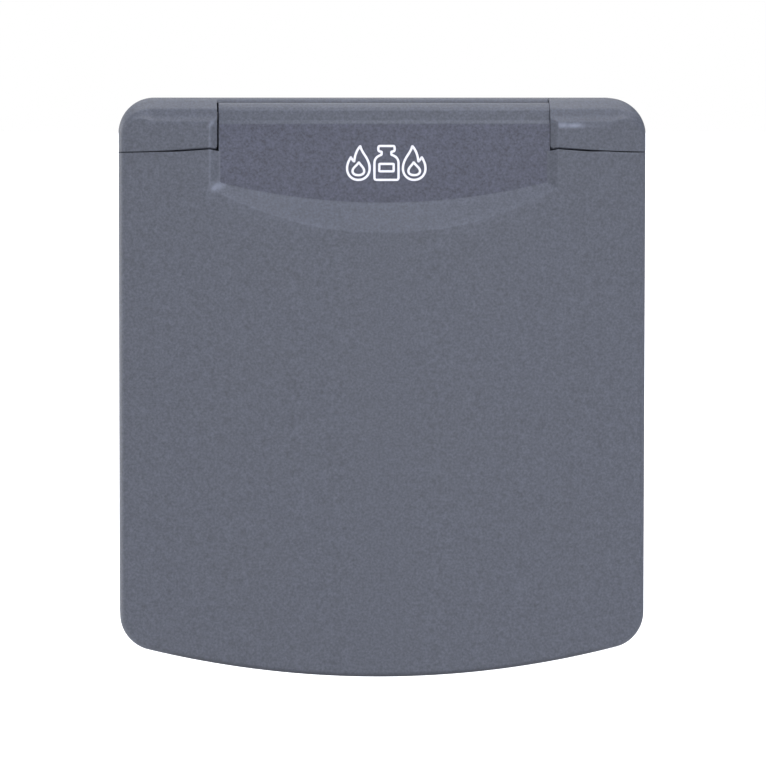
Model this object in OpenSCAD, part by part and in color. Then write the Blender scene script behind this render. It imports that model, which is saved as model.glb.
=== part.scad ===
// Flush-mounted gas outlet with a sprung flap: frame, flap, recess box,
// shut-off valve and self-closing bayonet outlet.
// Frame of the model: X across, Z up, -Y is the front. The origin is on the
// wall face (the back of the gasket), at mid height.

/* [Outline] */
// Half of the overall width
half_w = 66; // [66:0.5:68]
// Height of the top, from the middle
half_h = 72.5; // [72.5:0.5:74]
// Depth of the lowest point, from the middle
low_z = 72.1; // [72:0.1:73]
// Radius of the four corners
corner_r = 9; // [8:0.5:10]
// Radius of the bowed bottom edge
bottom_r = 270; // [265:5:275]

/* [Front face] */
// How far the middle of the crowned face stands off the wall
crown_y = 24; // [24:0.25:25]
// Radius of the crown, about an upright axis
crown_r = 300; // [295:5:320]
// Round-over of the sides and the bottom edge
edge_r = 1.5; // [1.4:0.1:2]
// Wall thickness of the flap
flap_wall = 2.5; // [2.3:0.1:2.6]

/* [Recessed panel] */
// How far the flat panel stands off the wall
panel_y = 19.8; // [19.7:0.05:19.9]
// Half width of the flat panel
panel_hw = 41; // [40.9:0.05:41]
// Lowest point of the panel's curved edge
panel_z = 46.4; // [46:0.1:48]
// Radius of that curved edge
panel_r = 168; // [160:2:190]
// Run of the curved bevel for each millimetre of depth
bevel_run = 1.74; // [1.7:0.02:1.84]
// Run of the upright side bevels for each millimetre of depth
side_run = 2.33; // [2.2:0.01:2.4]

/* [Hinge] */
// Hinge axis: distance off the wall
hinge_y = 16.3; // [16.2:0.05:16.4]
// Hinge axis: height above the middle
hinge_z = 67.6; // [67.5:0.05:67.7]
// Radius of the shoulder's lower edge about the hinge axis
seam_r = 8.4; // [7.9:0.05:8.4]
// Gap between the shoulder and the flap
seam_gap = 0.5; // [0.45:0.05:0.6]
// Inner wall of each shoulder
shoulder_x = 41.6; // [41.6:0.05:41.7]
// Left end of the flap's tab (side play on this side)
tab_left = 40.95; // [40.9:0.05:41]
// Right end of the flap's tab
tab_right = 41.35; // [41.3:0.05:41.35]
// Radius of the hinge pins
pin_r = 1.5; // [1.5:0.05:1.6]
// Radial running clearance of the pins in the frame
pin_gap = 0.05; // [0.04:0.01:0.08]

/* [Recess] */
// Half width of the mouth
mouth_hw = 44; // [43:0.5:44]
// Bottom and top of the mouth
mouth_lo = -50; // [-51:0.5:-50]
mouth_hi = 44; // [43:0.5:44]
// Depth of the recess box behind the wall face
box_depth = 60; // [60:1:62]
// Wall of the recess box
box_wall = 2.2; // [2:0.1:2.4]

/* [Gas fittings] */
// Height of the pipe axis
pipe_z = -6; // [-7:0.5:-5]
// Bore of the outlet socket
socket_bore_r = 6.6; // [6.5:0.05:6.7]
// Bore of the inlet, for an 8 mm pipe
inlet_bore_r = 4.1; // [4.05:0.05:4.2]
// Bore through the ball, which also stops the pipe
flow_r = 3.5; // [3.2:0.1:3.6]

/* [Hidden] */

slate = [0.40, 0.42, 0.47];
sweep_r = 4.1;                       // room for the flap's tab under the hood
cx = half_w - corner_r;              // corner centres
cz_top = half_h - corner_r;
bz = bottom_r - low_z;              // centre of the bottom arc
cz_bot = bz - sqrt(pow(bottom_r - corner_r, 2) - cx * cx);
ta = acos(cx / (bottom_r - corner_r)); // angle of the bottom tangent points
NC = 6;                              // segments round a corner
NB = 16;                             // segments across the top and bottom

function yc(x) = -crown_y + x * x / (2 * crown_r);
function arc(c, z, r, a0, a1, n) =
    [for (i = [0 : n]) [c + r * cos(a0 + (a1 - a0) * i / n), z + r * sin(a0 + (a1 - a0) * i / n)]];
// the outer outline, drawn in by e all round
function outline(e) = concat(
    arc(cx, cz_top, corner_r - e, 0, 90, NC),
    arc(-cx, cz_top, corner_r - e, 90, 180, NC),
    arc(-cx, cz_bot, corner_r - e, 180, 180 + ta, NC),
    [for (i = [1 : NB - 1]) let (a = 180 + ta + (180 - 2 * ta) * i / NB)
        [(bottom_r - e) * cos(a), bz + (bottom_r - e) * sin(a)]],
    arc(cx, cz_bot, corner_r - e, 360 - ta, 360, NC));
function rounded(x0, z0, x1, z1, r) = concat(
    arc(x1 - r, z1 - r, r, 0, 90, 5), arc(x0 + r, z1 - r, r, 90, 180, 5),
    arc(x0 + r, z0 + r, r, 180, 270, 5), arc(x1 - r, z0 + r, r, 270, 360, 5));

// a flat outline in X and Z, made solid from y0 back to y1
module slab(pts, y0, y1) translate([0, y1, 0]) rotate([90, 0, 0]) linear_extrude(y1 - y0) polygon(pts);
// a profile in Y and Z, made solid from x0 to x1
module bar(pts, x0, x1) translate([x0, 0, 0]) rotate([90, 0, 90]) linear_extrude(x1 - x0) polygon(pts);
// a rod along X about the hinge axis
module axle(r, x0, x1) translate([x0, -hinge_y, hinge_z]) rotate([0, 90, 0]) cylinder(r = r, h = x1 - x0, $fn = 64);
// a rod along Y about the pipe axis
module pipe(r, y0, y1) translate([0, y0, pipe_z]) rotate([-90, 0, 0]) cylinder(r = r, h = y1 - y0, $fn = 64);
module cone(ra, rb, y0, y1) translate([0, y0, pipe_z]) rotate([-90, 0, 0]) cylinder(r1 = ra, r2 = rb, h = y1 - y0, $fn = 64);
module hexagon(af, y0, y1) translate([0, y0, pipe_z]) rotate([-90, 30, 0]) cylinder(r = af / sqrt(3), h = y1 - y0, $fn = 6);
// a profile [radius, y] turned about the pipe axis
module turned(pts) translate([0, 0, pipe_z]) rotate([-90, 0, 0]) rotate_extrude($fn = 64) polygon(pts);

// ---- the crowned body that the flap and the shoulders are cut from ----
// The top edge falls back in steps, to a rolled edge; the sides and bottom are rounded.
roll = [[0, 6.5], [0.12, 5.9], [0.55, 5.0], [2.45, 2.4], [2.8, 2.15], [4.0, 1.5], [5.1, 0.55], [6.2, 0]];
NL = len(roll);
function side_e(k) = edge_r * (1 - cos(90 * k / (NL - 1)));
function side_d(k) = edge_r * (1 - sin(90 * k / (NL - 1)));
function smooth(t) = t * t * (3 - 2 * t);
// columns: [x, z, normal angle, share of the top profile]
top_cols = concat(
    [for (i = [0 : NC]) let (a = 180 - 90 * i / NC) [-cx + corner_r * cos(a), cz_top + corner_r * sin(a), a, smooth(i / NC)]],
    [for (i = [1 : NB - 1]) [-cx + 2 * cx * i / NB, half_h, 90, 1]],
    [for (i = [0 : NC]) let (a = 90 - 90 * i / NC) [cx + corner_r * cos(a), cz_top + corner_r * sin(a), a, smooth(1 - i / NC)]]);
bot_cols = concat(
    [for (i = [0 : NC]) let (a = 180 + ta * i / NC) [-cx + corner_r * cos(a), cz_bot + corner_r * sin(a), a, 0]],
    [for (i = [1 : NB - 1]) let (a = 180 + ta + (180 - 2 * ta) * i / NB) [bottom_r * cos(a), bz + bottom_r * sin(a), a, 0]],
    [for (i = [0 : NC]) let (a = 360 - ta + ta * i / NC) [cx + corner_r * cos(a), cz_bot + corner_r * sin(a), a, 0]]);
NCOL = len(top_cols);
loop_cols = concat(top_cols, [for (j = [NCOL - 1 : -1 : 0]) bot_cols[j]]);
NP = len(loop_cols);
function ring_pt(c, k) = let (
    e = c[3] * roll[k][0] + (1 - c[3]) * side_e(k),
    d = c[3] * roll[k][1] + (1 - c[3]) * side_d(k),
    x = c[0] - e * cos(c[2])) [x, yc(x) + d, c[1] - e * sin(c[2])];
module blank(rear) {
    pts = concat([for (c = loop_cols) [c[0], rear, c[1]]],
                 [for (k = [0 : NL - 1]) for (c = loop_cols) ring_pt(c, k)]);
    f = NL * NP;
    polyhedron(points = pts, faces = concat(
        [for (k = [0 : NL - 1]) for (i = [0 : NP - 1]) let (a = k * NP + i, b = k * NP + (i + 1) % NP) [a, b, b + NP]],
        [for (k = [0 : NL - 1]) for (i = [0 : NP - 1]) let (a = k * NP + i, b = k * NP + (i + 1) % NP) [a, b + NP, a + NP]],
        [for (j = [0 : NCOL - 2]) [f + j, f + j + 1, f + NP - 2 - j]],
        [for (j = [0 : NCOL - 2]) [f + j, f + NP - 2 - j, f + NP - 1 - j]],
        [[for (i = [NP - 1 : -1 : 0]) i]]), convexity = 4);
}
// everything behind the crowned face, set back by t
module behind_crown(t) translate([0, crown_r - crown_y, -90]) cylinder(r = crown_r - t, h = 180, $fn = 256);

// the recessed panel: t is the distance outside its surface, 0 for the cut itself
module panel_cut(t) {
    y0 = -panel_y + t;
    len = 8 + t;
    r0 = panel_r - bevel_run * t + t * sqrt(1 + bevel_run * bevel_run);
    x0 = panel_hw - side_run * t + t * sqrt(1 + side_run * side_run);
    intersection() {
        translate([0, y0, panel_z + panel_r]) rotate([90, 0, 0])
            cylinder(r1 = r0, r2 = r0 + bevel_run * len, h = len, $fn = 256);
        translate([0, 0, 15]) linear_extrude(70)
            polygon([[-x0, y0], [x0, y0], [x0 + side_run * len, y0 - len], [-x0 - side_run * len, y0 - len]]);
    }
}

// ---- frame ----
module shoulder_room(s) mirror([s < 0 ? 1 : 0, 0, 0]) {
    axle(seam_r, shoulder_x, 80);
    translate([shoulder_x, -hinge_y + 0.7, hinge_z - seam_r + 0.1]) cube([40, 12, 30]);
}
module shoulder_hollow(s) mirror([s < 0 ? 1 : 0, 0, 0]) difference() {
    intersection() {
        slab(outline(2.4), -30, -1);
        behind_crown(2.4);
        bar([[-1, 62], [-30, 62], [-30, 65.6], [-17.5, 65.6], [-12.5, 69.6], [-1, 69.6]], shoulder_x + 2.3, 80);
    }
    axle(4, shoulder_x + 1, 49);   // the boss that carries the pin
}
module stop_rib(x) bar([for (p = [[1.67, -1.73], [3.27, -3.38], [4.2, -2.2], [13, -2.2], [13, -7], [1.67, -7]])
    [-hinge_y + p[0], hinge_z + p[1]]], x, x + 3);
module base_frame() color(slate) difference() {
    intersection() {
        blank(-2);
        union() {
            translate([-80, -5, -90]) cube([160, 4, 180]);              // flange
            shoulder_room(1);
            shoulder_room(-1);
            difference() {                                              // hood over the tab's rear edge
                bar([[-4, 70.3], [-4, 73], [-13.3, 73], [-13.3, 72.5], [-14.1, 72.15], [-14.53, 71.35], [-14.53, 70.3]],
                    -shoulder_x - 1, shoulder_x + 1);
                axle(sweep_r, -shoulder_x, shoulder_x);
            }
            difference() {                                              // rim round the mouth
                slab(rounded(-mouth_hw - 2, mouth_lo - 2, mouth_hw + 2, mouth_hi + 2, 12), -9, -4);
                slab(rounded(-mouth_hw, mouth_lo, mouth_hw, mouth_hi, 10), -10, 0);
            }
            stop_rib(-21);
            stop_rib(18);
            translate([25.7, -9.5, 61.4]) cube([3, 6, 1.7]);              // ledge for the spring's leg
        }
    }
    slab(rounded(-mouth_hw, mouth_lo, mouth_hw, mouth_hi, 10), -10, 0);
    panel_cut(0);                                                       // its side bevels run on over the shoulders
    shoulder_hollow(1);
    shoulder_hollow(-1);
    axle(pin_r + pin_gap, shoulder_x - 1, 50);
    axle(pin_r + pin_gap, -50, 1 - shoulder_x);
    for (x = [-58, 58], z = [-48, 46]) translate([x, -20, z]) rotate([-90, 0, 0]) cylinder(r = 2, h = 30, $fn = 48);
    for (x = [-47.5, 47.5], z = [-53.5, 47.5]) translate([x, -20, z]) rotate([-90, 0, 0]) cylinder(r = 1.65, h = 30, $fn = 48);
}

module wall_gasket() color([0.09, 0.09, 0.09]) difference() {
    slab(outline(0.5), -2, 0);
    slab(rounded(-52.4, -58.4, 52.4, 52.4, 6), -3, 1);
    for (x = [-58, 58], z = [-48, 46]) translate([x, -5, z]) rotate([-90, 0, 0]) cylinder(r = 2.2, h = 10, $fn = 48);
}

module rear_box() color([0.33, 0.34, 0.37]) difference() {
    union() {
        difference() {
            slab(rounded(-52, -58, 52, 52, 6), -2, box_depth);
            slab(rounded(-52 + box_wall, -58 + box_wall, 52 - box_wall, 52 - box_wall, 6 - box_wall), -3, box_depth - box_wall);
        }
        for (x = [-47.5, 47.5], z = [-53.5, 47.5]) translate([x, -2, z]) rotate([-90, 0, 0]) cylinder(r = 4, h = 10, $fn = 48);
        // pad behind the bulkhead hole
        difference() {
            pipe(17, box_depth - box_wall - 1, box_depth - box_wall + 0.5);
        }
    }
    for (x = [-47.5, 47.5], z = [-53.5, 47.5]) translate([x, -3, z]) rotate([-90, 0, 0]) cylinder(r = 1.5, h = 10, $fn = 48);
    pipe(9.1, box_depth - 6, box_depth + 1);
}

module box_screws() color([0.75, 0.75, 0.77])
    for (x = [-47.5, 47.5], z = [-53.5, 47.5]) translate([x, 0, z]) rotate([-90, 0, 0]) difference() {
        union() {
            translate([0, 0, -6]) cylinder(r = 1.5, h = 12.5, $fn = 48);
            translate([0, 0, -7.2]) cylinder(r1 = 2.2, r2 = 2.8, h = 0.8, $fn = 48);
            translate([0, 0, -6.4]) cylinder(r = 2.8, h = 1.4, $fn = 48);
        }
        for (t = [0, 90]) rotate([0, 0, t]) translate([-1.7, -0.4, -8]) cube([3.4, 0.8, 2.2]);
    }

// ---- flap ----
module seal_ring(a, b, y0, y1) difference() {
    slab(rounded(-mouth_hw - 1 - b, mouth_lo - 1 - b, mouth_hw + 1 + b, mouth_hi + 1 + b, 11 + b), y0, y1);
    slab(rounded(-mouth_hw - 1 + a, mouth_lo - 1 + a, mouth_hw + 1 - a, mouth_hi + 1 - a, 11 - a), y0 - 1, y1 + 1);
}
module flap_hollow() difference() {
    intersection() {
        slab(outline(flap_wall), -30, -5);
        behind_crown(flap_wall);
        translate([-80, -40, -90]) cube([160, 40, 90 + 56.7]);
    }
    panel_cut(flap_wall);
    difference() {                       // channel that holds the seal
        seal_ring(2.1, 2.1, -40, -11);
        seal_ring(1.3, 1.3, -13.5, -10);
    }
}
tab_out = [[-3.5, -13.5], [-3.5, -1.2], [-3.3, -0.85], [-2.95, -0.25], [-2.3, 1.85], [-1.6, 2.7], [-0.6, 3.4], [0, 3.65], [0.5, 3.72], [1.05, 3.6], [1.58, 3.4]];
tab_in = [[1.10, 2.36], [0.2, 2.35], [-0.6, 1.75], [-1.0, 0.8], [-1.0, -13.5]];
cheek = concat([[-3.5, -9]], [for (i = [1 : 9]) tab_out[i]], arc(0, 0, 3.7, 65, -60, 8), [[-1.0, -5.5], [-1.0, -9]]);
module lid() color(slate) difference() {
    union() {
        difference() {
            blank(-5.4);
            panel_cut(0);
            axle(seam_r + seam_gap, -80, 80);
            translate([-80, -hinge_y + 0.7, hinge_z - seam_r - seam_gap + 0.1]) cube([160, 20, 30]);
            flap_hollow();
        }
        bar([for (p = concat(tab_out, tab_in)) [-hinge_y + p[0], hinge_z + p[1]]], -tab_left, tab_right);
        bar([for (p = cheek) [-hinge_y + p[0], hinge_z + p[1]]], -tab_left, -36.5);
        bar([for (p = cheek) [-hinge_y + p[0], hinge_z + p[1]]], 36.5, tab_right);
    }
    axle(pin_r, -45, -35);
    axle(pin_r, 35, 45);
    axle(2.25, 25.6, 36.5);                                               // room for the spring
    translate([36, -hinge_y + 1.76, hinge_z + 0.7]) rotate([0, 90, 0]) cylinder(r = 0.4, h = 3, $fn = 24);
}

module lid_seal() color([0.07, 0.07, 0.07]) seal_ring(1.3, 1.3, -13.5, -9.2);

// the left pin is short; the right one runs on inwards and carries the spring
module hinge_pins() color([0.72, 0.72, 0.74]) {
    axle(pin_r, -48.2, -36.6);
    axle(pin_r, 26, 48.2);
}

// a round wire swept along a path of points, with n sides
function unit(v) = v / norm(v);
function sweep_ring(p, q, r, n, up) = let (t = unit(q), u = unit(cross(up, t)), v = cross(t, u))
    [for (i = [0 : n - 1]) p + r * (cos(360 * i / n) * u + sin(360 * i / n) * v)];
module wire(path, r, n, up) {
    m = len(path);
    pts = [for (k = [0 : m - 1]) let (q = path[min(k + 1, m - 1)] - path[max(k - 1, 0)]) each sweep_ring(path[k], q, r, n, up)];
    polyhedron(points = pts, faces = concat(
        [for (k = [0 : m - 2]) for (i = [0 : n - 1]) [k * n + i, (k + 1) * n + i, k * n + (i + 1) % n]],
        [for (k = [0 : m - 2]) for (i = [0 : n - 1]) [k * n + (i + 1) % n, (k + 1) * n + i, (k + 1) * n + (i + 1) % n]],
        [[for (i = [0 : n - 1]) i]],
        [[for (i = [n - 1 : -1 : 0]) (m - 1) * n + i]]), convexity = 10);
}
// torsion spring on the right pin: a bent leg on the frame's ledge, eight turns,
// and a short straight end in the hole of the flap's cheek
module lid_spring() color([0.6, 0.6, 0.62])
    wire(concat(
        [[27.2, -hinge_y + 10.8, hinge_z - 4.1], [27.2, -hinge_y + 7, hinge_z - 4.1], [27.2, -hinge_y + 3.6, hinge_z - 4.1],
         [27.2, -hinge_y + 2.9, hinge_z - 3.7], [27.2, -hinge_y + 2.2, hinge_z - 1.8]],
        [for (i = [0 : 112]) let (a = i * 360 / 14) [27.3 + i / 14, -hinge_y + 1.85 * cos(a), hinge_z + 1.85 * sin(a)]],
        [[35.6, -hinge_y + 1.8, hinge_z + 0.4], [36.1, -hinge_y + 1.76, hinge_z + 0.65], [38.2, -hinge_y + 1.76, hinge_z + 0.7]]),
        0.28, 8, [1, 0.02, 0.03]);

// ---- gas fittings ----
module valve_body() color([0.80, 0.66, 0.36]) difference() {
    union() {
        pipe(12, 24.6, 54);
        cone(11.4, 12, 24, 24.6);
        pipe(14, 54, box_depth - box_wall - 1);
        pipe(9, box_depth - box_wall - 2, 76);
        translate([0, 40, 0]) cylinder(r = 10, h = 11, $fn = 64);           // bonnet
        translate([-8.4, 40, 9]) cylinder(r = 1.1, h = 9.4, $fn = 32);      // lever stop
    }
    pipe(9, 23, 32);
    pipe(7.5, 31, 47.5);
    pipe(flow_r, 47, 67);
    pipe(inlet_bore_r, 66, 77);
    cone(inlet_bore_r, 5.6, 73.5, 76);
    pipe(5.6, 75.99, 78);
    translate([0, 40, pipe_z]) cylinder(r = 3.05, h = 20, $fn = 48);
    translate([0, 40, 6]) cylinder(r = 4.6, h = 8, $fn = 48);
}
module seat(y0, y1) color([0.93, 0.93, 0.90]) difference() {
    pipe(7.5, y0, y1);
    pipe(flow_r + 0.1, y0 - 1, y1 + 1);
    translate([0, 40, pipe_z]) sphere(r = 7.05, $fn = 64);
}
module front_seat() seat(32, 36);
module rear_seat() seat(44, 47.5);
module valve_ball() color([0.85, 0.85, 0.87]) difference() {
    translate([0, 40, pipe_z]) sphere(r = 7, $fn = 64);
    translate([-10, 40, pipe_z]) rotate([0, 90, 0]) cylinder(r = flow_r, h = 20, $fn = 48);
    translate([-4.3, 38.5, pipe_z + 5]) cube([8.6, 3, 5]);
}
module valve_stem() color([0.80, 0.66, 0.36]) {
    difference() {
        union() {
            translate([0, 40, 1.3]) cylinder(r = 3, h = 14.7, $fn = 48);
            intersection() {
                translate([-4, 38.55, pipe_z + 5.05]) cube([8, 2.9, 3]);
                translate([0, 40, -2]) cylinder(r = 3, h = 6, $fn = 48);
            }
            translate([-2, 38, 15.5]) cube([4, 4, 3.1]);
            translate([0, 40, 18]) cylinder(r = 2, h = 5, $fn = 48);
        }
    }
}
module stem_seal() color([0.08, 0.08, 0.08]) difference() {
    translate([0, 40, 6]) cylinder(r = 4.6, h = 2.4, $fn = 48);
    translate([0, 40, 5]) cylinder(r = 3.05, h = 5, $fn = 48);
}
module gland_nut() color([0.80, 0.66, 0.36]) difference() {
    union() {
        translate([0, 40, 11]) cylinder(r = 12 / sqrt(3), h = 4, $fn = 6);
        translate([0, 40, 8.4]) cylinder(r = 4.6, h = 3, $fn = 48);
    }
    translate([0, 40, 5]) cylinder(r = 3.05, h = 15, $fn = 48);
}
module lever() color([0.78, 0.78, 0.80]) difference() {
    union() {
        translate([0, 40, 16.05]) cylinder(r = 10, h = 2.5, $fn = 64);
        translate([4, 35.5, 16.05]) cube([30, 9, 2.5]);
        translate([34, 40, 16.05]) cylinder(r = 4.5, h = 2.5, $fn = 48);
    }
    translate([-2, 38, 10]) cube([4, 4, 10]);
    // notch that meets the stop at both ends of the quarter turn
    translate([0, 40, 15]) rotate([0, 0, 171.4]) rotate_extrude(angle = 107.2, $fn = 64) translate([7.1, 0]) square([5, 5]);
}
module lever_sleeve() color([0.92, 0.76, 0.10]) difference() {
    union() {
        translate([14, 34.2, 15.2]) cube([20, 11.6, 4.2]);
        translate([34, 40, 15.2]) cylinder(r = 5.8, h = 4.2, $fn = 48);
    }
    translate([10, 35.5, 16.05]) cube([24, 9, 2.5]);
    translate([34, 40, 16.05]) cylinder(r = 4.5, h = 2.5, $fn = 48);
}
module lever_nut() color([0.78, 0.78, 0.80]) difference() {
    translate([0, 40, 18.6]) cylinder(r = 7 / sqrt(3), h = 3.2, $fn = 6);
    translate([0, 40, 18]) cylinder(r = 2, h = 6, $fn = 48);
}
module bulkhead_washer() color([0.78, 0.78, 0.80]) difference() {
    pipe(14, box_depth, box_depth + 1);
    pipe(9.2, box_depth - 1, box_depth + 2);
}
module bulkhead_nut() color([0.80, 0.66, 0.36]) difference() {
    hexagon(24, box_depth + 1, box_depth + 6);
    pipe(9, box_depth, box_depth + 7);
}
module olive() color([0.72, 0.45, 0.25])
    turned([[inlet_bore_r, 74.1], [4.4, 74.1], [5.5, 76], [5.5, 77.2], [4.4, 79.2], [inlet_bore_r, 79.2]]);
module inlet_nut() color([0.80, 0.66, 0.36]) difference() {
    union() {
        hexagon(22, 72, 81);
        pipe(9.5, 79, 84);
    }
    pipe(9, 71, 76.2);
    pipe(5.8, 76.1, 79.3);
    pipe(inlet_bore_r, 79, 85);
}
module socket() color([0.80, 0.66, 0.36]) difference() {
    union() {
        pipe(9, 20, 32);
        hexagon(24, 17.5, 24);
        pipe(11, -3.4, 18);
        cone(10.4, 11, -4, -3.4);
        pipe(12, 8, 9.5);
        translate([-13, 3, pipe_z]) rotate([0, 90, 0]) cylinder(r = 1.5, h = 26, $fn = 32);   // bayonet lugs
    }
    pipe(socket_bore_r, -5, 12.2);
    pipe(5.2, 12, 15);                     // room for the poppet's nose
    pipe(3.0, 14, 18);
    pipe(4.4, 17, 33);
    difference() {                        // groove for the joint seal
        pipe(11.6, 22.8, 25);
        pipe(9.9, 22, 26);
    }
}
module socket_seal() color([0.08, 0.08, 0.08]) difference() {
    pipe(11.3, 22.8, 24);
    pipe(9.9, 22, 25);
}
module poppet() color([0.80, 0.66, 0.36]) {
    pipe(2.6, 12.5, 18.2);
    pipe(4.0, 18, 20);
    pipe(1.1, 19.8, 28);
}
module poppet_seal() color([0.08, 0.08, 0.08]) difference() {
    pipe(4.0, 17.1, 18);
    pipe(2.6, 16, 19);
}
module poppet_spring() color([0.6, 0.6, 0.62])
    wire([for (i = [0 : 70]) let (a = i * 360 / 14) [2.6 * cos(a), 20.3 + i * 5.4 / 70, pipe_z + 2.6 * sin(a)]], 0.25, 8, [0, 1, 0]);
module spring_retainer() color([0.78, 0.78, 0.80]) difference() {
    pipe(4.4, 26, 27);
    pipe(1.15, 25, 28);
    for (a = [0, 120, 240]) translate([3.0 * cos(a), 25, pipe_z + 3.0 * sin(a)]) rotate([-90, 0, 0]) cylinder(r = 1.0, h = 3, $fn = 32);
}

base_frame();
wall_gasket();
rear_box();
box_screws();
lid();
lid_seal();
hinge_pins();
lid_spring();
valve_body();
front_seat();
rear_seat();
valve_ball();
valve_stem();
stem_seal();
gland_nut();
lever();
lever_sleeve();
lever_nut();
bulkhead_washer();
bulkhead_nut();
olive();
inlet_nut();
socket();
socket_seal();
poppet();
poppet_seal();
poppet_spring();
spring_retainer();
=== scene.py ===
"""Looks for the gas outlet cover: a flush wall box with a sprung flap, a shut-off
valve and a bayonet outlet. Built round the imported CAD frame, in its own frame:
X across, Z up, -Y to the front, metres in the scene and millimetres in the helpers."""
import math

import bpy
import bmesh
import numpy as np
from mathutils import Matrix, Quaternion, Vector, geometry


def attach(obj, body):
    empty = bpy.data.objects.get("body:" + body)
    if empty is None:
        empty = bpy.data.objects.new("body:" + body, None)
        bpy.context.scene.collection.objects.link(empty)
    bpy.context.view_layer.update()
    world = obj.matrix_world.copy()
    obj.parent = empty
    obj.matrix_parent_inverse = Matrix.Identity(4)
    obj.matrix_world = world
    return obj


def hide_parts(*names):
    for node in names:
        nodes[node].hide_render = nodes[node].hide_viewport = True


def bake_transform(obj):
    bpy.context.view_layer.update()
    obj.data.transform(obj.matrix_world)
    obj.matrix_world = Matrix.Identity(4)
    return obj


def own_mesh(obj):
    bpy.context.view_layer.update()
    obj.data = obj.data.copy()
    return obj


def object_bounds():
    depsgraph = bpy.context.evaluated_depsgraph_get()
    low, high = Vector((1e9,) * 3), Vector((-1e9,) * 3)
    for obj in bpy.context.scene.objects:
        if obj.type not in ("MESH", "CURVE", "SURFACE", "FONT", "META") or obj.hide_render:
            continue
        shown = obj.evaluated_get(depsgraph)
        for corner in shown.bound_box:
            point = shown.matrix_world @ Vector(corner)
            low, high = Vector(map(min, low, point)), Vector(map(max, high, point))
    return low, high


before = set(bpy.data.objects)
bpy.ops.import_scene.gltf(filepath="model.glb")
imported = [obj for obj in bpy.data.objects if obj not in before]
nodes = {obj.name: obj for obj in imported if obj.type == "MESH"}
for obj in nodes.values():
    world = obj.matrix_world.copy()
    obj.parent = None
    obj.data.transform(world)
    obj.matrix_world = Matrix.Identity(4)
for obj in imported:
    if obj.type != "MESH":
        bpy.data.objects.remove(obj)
cad_lo, cad_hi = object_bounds()
scene = bpy.context.scene
MM = 0.001

# --------------------------------------------------------------------------
# sizes, in millimetres, as in the CAD source
# --------------------------------------------------------------------------
HALF_W, HALF_H, LOW_Z, CORNER_R, BOTTOM_R = 66.0, 72.5, 72.1, 9.0, 270.0
CROWN_Y, CROWN_R, EDGE_R, WALL = 24.0, 300.0, 1.5, 2.5
PANEL_Y, PANEL_HW, PANEL_Z, PANEL_R = 19.8, 41.0, 46.4, 168.0
BEVEL_RUN, SIDE_RUN = 1.74, 2.33
HY, HZ = 16.3, 67.6
SEAM_R, SEAM_GAP, SHOULDER_X = 8.4, 0.5, 41.6
TAB_LEFT, TAB_RIGHT = 41.25, 41.575
PIN_R, PIN_GAP, SWEEP_R = 1.5, 0.05, 4.1
MOUTH_HW, MOUTH_LO, MOUTH_HI = 44.0, -50.0, 44.0
PIPE_Z = -6.0
CX = HALF_W - CORNER_R
CZT = HALF_H - CORNER_R
BZ = BOTTOM_R - LOW_Z
CZB = BZ - math.sqrt((BOTTOM_R - CORNER_R) ** 2 - CX * CX)
TA = math.acos(CX / (BOTTOM_R - CORNER_R))


def yc(x):
    return -CROWN_Y + x * x / (2 * CROWN_R)


# --------------------------------------------------------------------------
# mesh helpers
# --------------------------------------------------------------------------
def obj_from(name, verts, faces):
    """A closed mesh object from points in millimetres, with its faces turned outwards."""
    me = bpy.data.meshes.new(name)
    me.from_pydata([[c * MM for c in v] for v in verts], [], faces)
    bm = bmesh.new()
    bm.from_mesh(me)
    bmesh.ops.remove_doubles(bm, verts=bm.verts, dist=1e-8)
    bmesh.ops.recalc_face_normals(bm, faces=bm.faces)
    bm.to_mesh(me)
    bm.free()
    ob = bpy.data.objects.new(name, me)
    scene.collection.objects.link(ob)
    return ob


def drop(ob):
    me = ob.data
    bpy.data.objects.remove(ob)
    if me.users == 0:
        bpy.data.meshes.remove(me)


def boolean(ob, tools, op):
    """Applies one boolean after another and removes the tools."""
    for t in tools:
        m = ob.modifiers.new("b", "BOOLEAN")
        m.operation, m.solver, m.object = op, "MANIFOLD", t
        dg = bpy.context.evaluated_depsgraph_get()
        me = bpy.data.meshes.new_from_object(ob.evaluated_get(dg))
        ob.modifiers.clear()
        old = ob.data
        ob.data = me
        bpy.data.meshes.remove(old)
        drop(t)
    return ob


def cut(ob, *tools):
    return boolean(ob, tools, "DIFFERENCE")


def join(ob, *tools):
    return boolean(ob, tools, "UNION")


def common(ob, *tools):
    return boolean(ob, tools, "INTERSECT")


def smooth(ob, angle=32):
    for p in ob.data.polygons:
        p.use_smooth = True
    ob.data.set_sharp_from_angle(angle=math.radians(angle))
    return ob


def weld(ob, dist=2e-6):
    bm = bmesh.new()
    bm.from_mesh(ob.data)
    bmesh.ops.remove_doubles(bm, verts=bm.verts, dist=dist)
    bmesh.ops.dissolve_degenerate(bm, edges=bm.edges, dist=dist)
    bmesh.ops.triangulate(bm, faces=bm.faces)
    # faces that lie back to back on the same points enclose nothing
    same = {}
    for f in bm.faces:
        same.setdefault(frozenset(v.index for v in f.verts), []).append(f)
    bmesh.ops.delete(bm, geom=[f for fs in same.values() if len(fs) > 1 for f in fs], context="FACES")
    bm.to_mesh(ob.data)
    bm.free()
    return ob


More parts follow.
